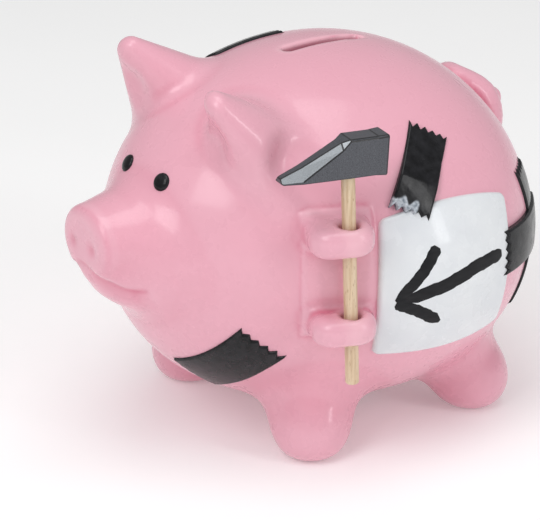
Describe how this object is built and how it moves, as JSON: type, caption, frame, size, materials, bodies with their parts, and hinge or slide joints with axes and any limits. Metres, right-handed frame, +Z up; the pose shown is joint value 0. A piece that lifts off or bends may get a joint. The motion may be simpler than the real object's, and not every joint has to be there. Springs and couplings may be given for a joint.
{
  "type": "figural animal coin bank",
  "caption": "Round glazed ceramic pig coin bank with a coin slot in its back, a plug under its belly and a small hammer held by lugs on its flank.",
  "frame": {"origin": "centre of the overall box at the soles, on the surface the pig stands on", "axes": "+Z up, -Y the way the snout points, +X the pig's left flank, which carries the hammer"},
  "size_m": [0.1556, 0.2006, 0.1472],
  "materials": {
    "pink_glaze": "gloss pink glaze",
    "white_glaze": "gloss white glaze",
    "black_glaze": "gloss black glaze",
    "beech": "bare sanded dowel",
    "head_lacquer": "dark grey metallic lacquer",
    "plug_rubber": "matt soft rubber"
  },
  "bodies": {
    "bank": {"body_shell": "pink_glaze", "ear_left": "pink_glaze", "ear_right": "pink_glaze", "tail": "pink_glaze", "eye_left": "black_glaze", "eye_right": "black_glaze", "hammer_lug_upper": "pink_glaze", "hammer_lug_lower": "pink_glaze", "label_panel": "white_glaze", "tape_flank": "black_glaze", "tape_chest": "black_glaze", "tape_rump_upright": "black_glaze", "tape_rump_cross": "black_glaze", "tape_back": "black_glaze"},
    "hammer": {"hammer_handle": "beech", "hammer_head": "head_lacquer"},
    "plug": {"base_plug": "plug_rubber"}
  },
  "joints": [
    {"name": "hammer_lift", "type": "slide", "parent": "bank", "child": "hammer", "axis": [0, -0.0369, 0.9993], "range_m": [-0.018, 0.06]},
    {"name": "plug_pull", "type": "slide", "parent": "bank", "child": "plug", "axis": [0, 0, -1], "range_m": [0, 0.0046]}
  ]
}
